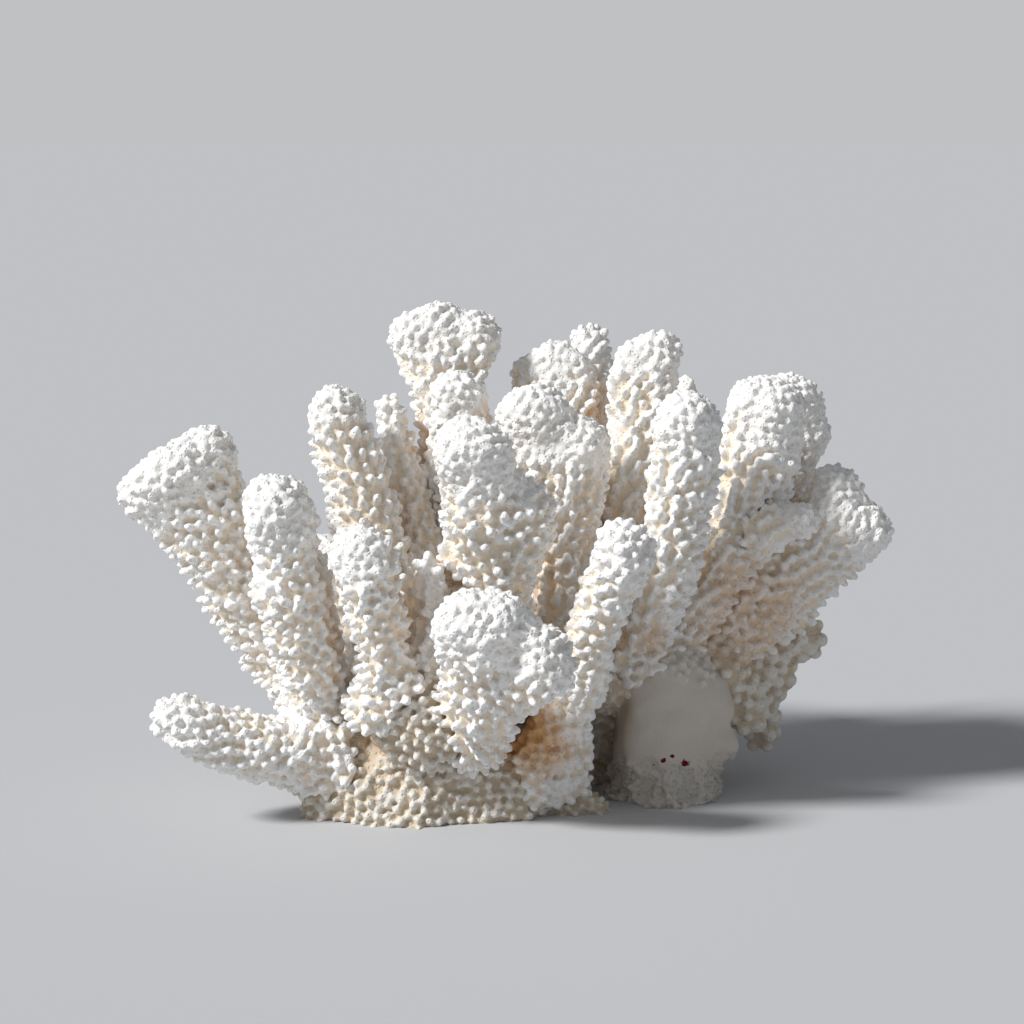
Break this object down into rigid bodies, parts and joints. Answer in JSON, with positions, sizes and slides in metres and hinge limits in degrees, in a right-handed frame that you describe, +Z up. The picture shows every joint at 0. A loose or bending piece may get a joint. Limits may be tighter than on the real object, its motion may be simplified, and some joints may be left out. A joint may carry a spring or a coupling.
{
  "type": "dried branching coral colony",
  "caption": "Bleached white branching coral colony with thick warty paddle-shaped branches fanning out from a base cut flat to stand on.",
  "frame": {"origin": "centre of the bounding box in plan, at the height of the flat cuts that the colony rests on", "axes": "+Z up, along the growth of the tallest branches; +X along the widest spread of the colony, to the right seen from the front; +Y towards the back, away from the large front paddle"},
  "size_m": [0.2752, 0.1838, 0.175],
  "materials": {
    "white_aragonite": "dry matt white skeleton, finely pitted, cream in the hollows between the warts",
    "cream_aragonite": "dry matt cream skeleton, porous, orange-brown in the deepest hollows",
    "chalky_aragonite": "dull chalky worn skeleton with small dark red specks and a rough broken edge"
  },
  "bodies": {
    "root": {"stump": "chalky_aragonite", "crown": "cream_aragonite", "foot": "cream_aragonite", "left_limb": "cream_aragonite", "front_limb": "cream_aragonite", "back_limb": "cream_aragonite", "right_limb": "cream_aragonite", "left_paddle": "white_aragonite", "left_front_lobe": "white_aragonite", "low_left_branch": "white_aragonite", "tall_left_branch": "white_aragonite", "slim_left_branch": "white_aragonite", "front_paddle": "white_aragonite", "front_left_lobe": "white_aragonite", "front_bud": "white_aragonite", "front_right_branch": "white_aragonite", "centre_paddle": "white_aragonite", "centre_back_paddle": "white_aragonite", "tall_centre_fan": "white_aragonite", "centre_knob": "white_aragonite", "back_hump": "white_aragonite", "back_knob": "white_aragonite", "centre_right_branch": "white_aragonite", "hidden_back_branch": "white_aragonite", "right_lobe": "white_aragonite", "right_tall_lobe": "white_aragonite", "right_rim": "white_aragonite", "right_side_bud": "white_aragonite", "right_paddle": "white_aragonite", "rear_left_lobe": "white_aragonite", "rear_outer_left_lobe": "white_aragonite", "rear_centre_lobe": "white_aragonite", "rear_right_centre_lobe": "white_aragonite", "rear_right_lobe": "white_aragonite", "rear_outer_right_lobe": "white_aragonite", "rear_low_centre_lobe": "white_aragonite", "rear_low_left_lobe": "white_aragonite", "rear_low_right_lobe": "white_aragonite", "rear_low_outer_lobe": "white_aragonite"}
  },
  "joints": []
}
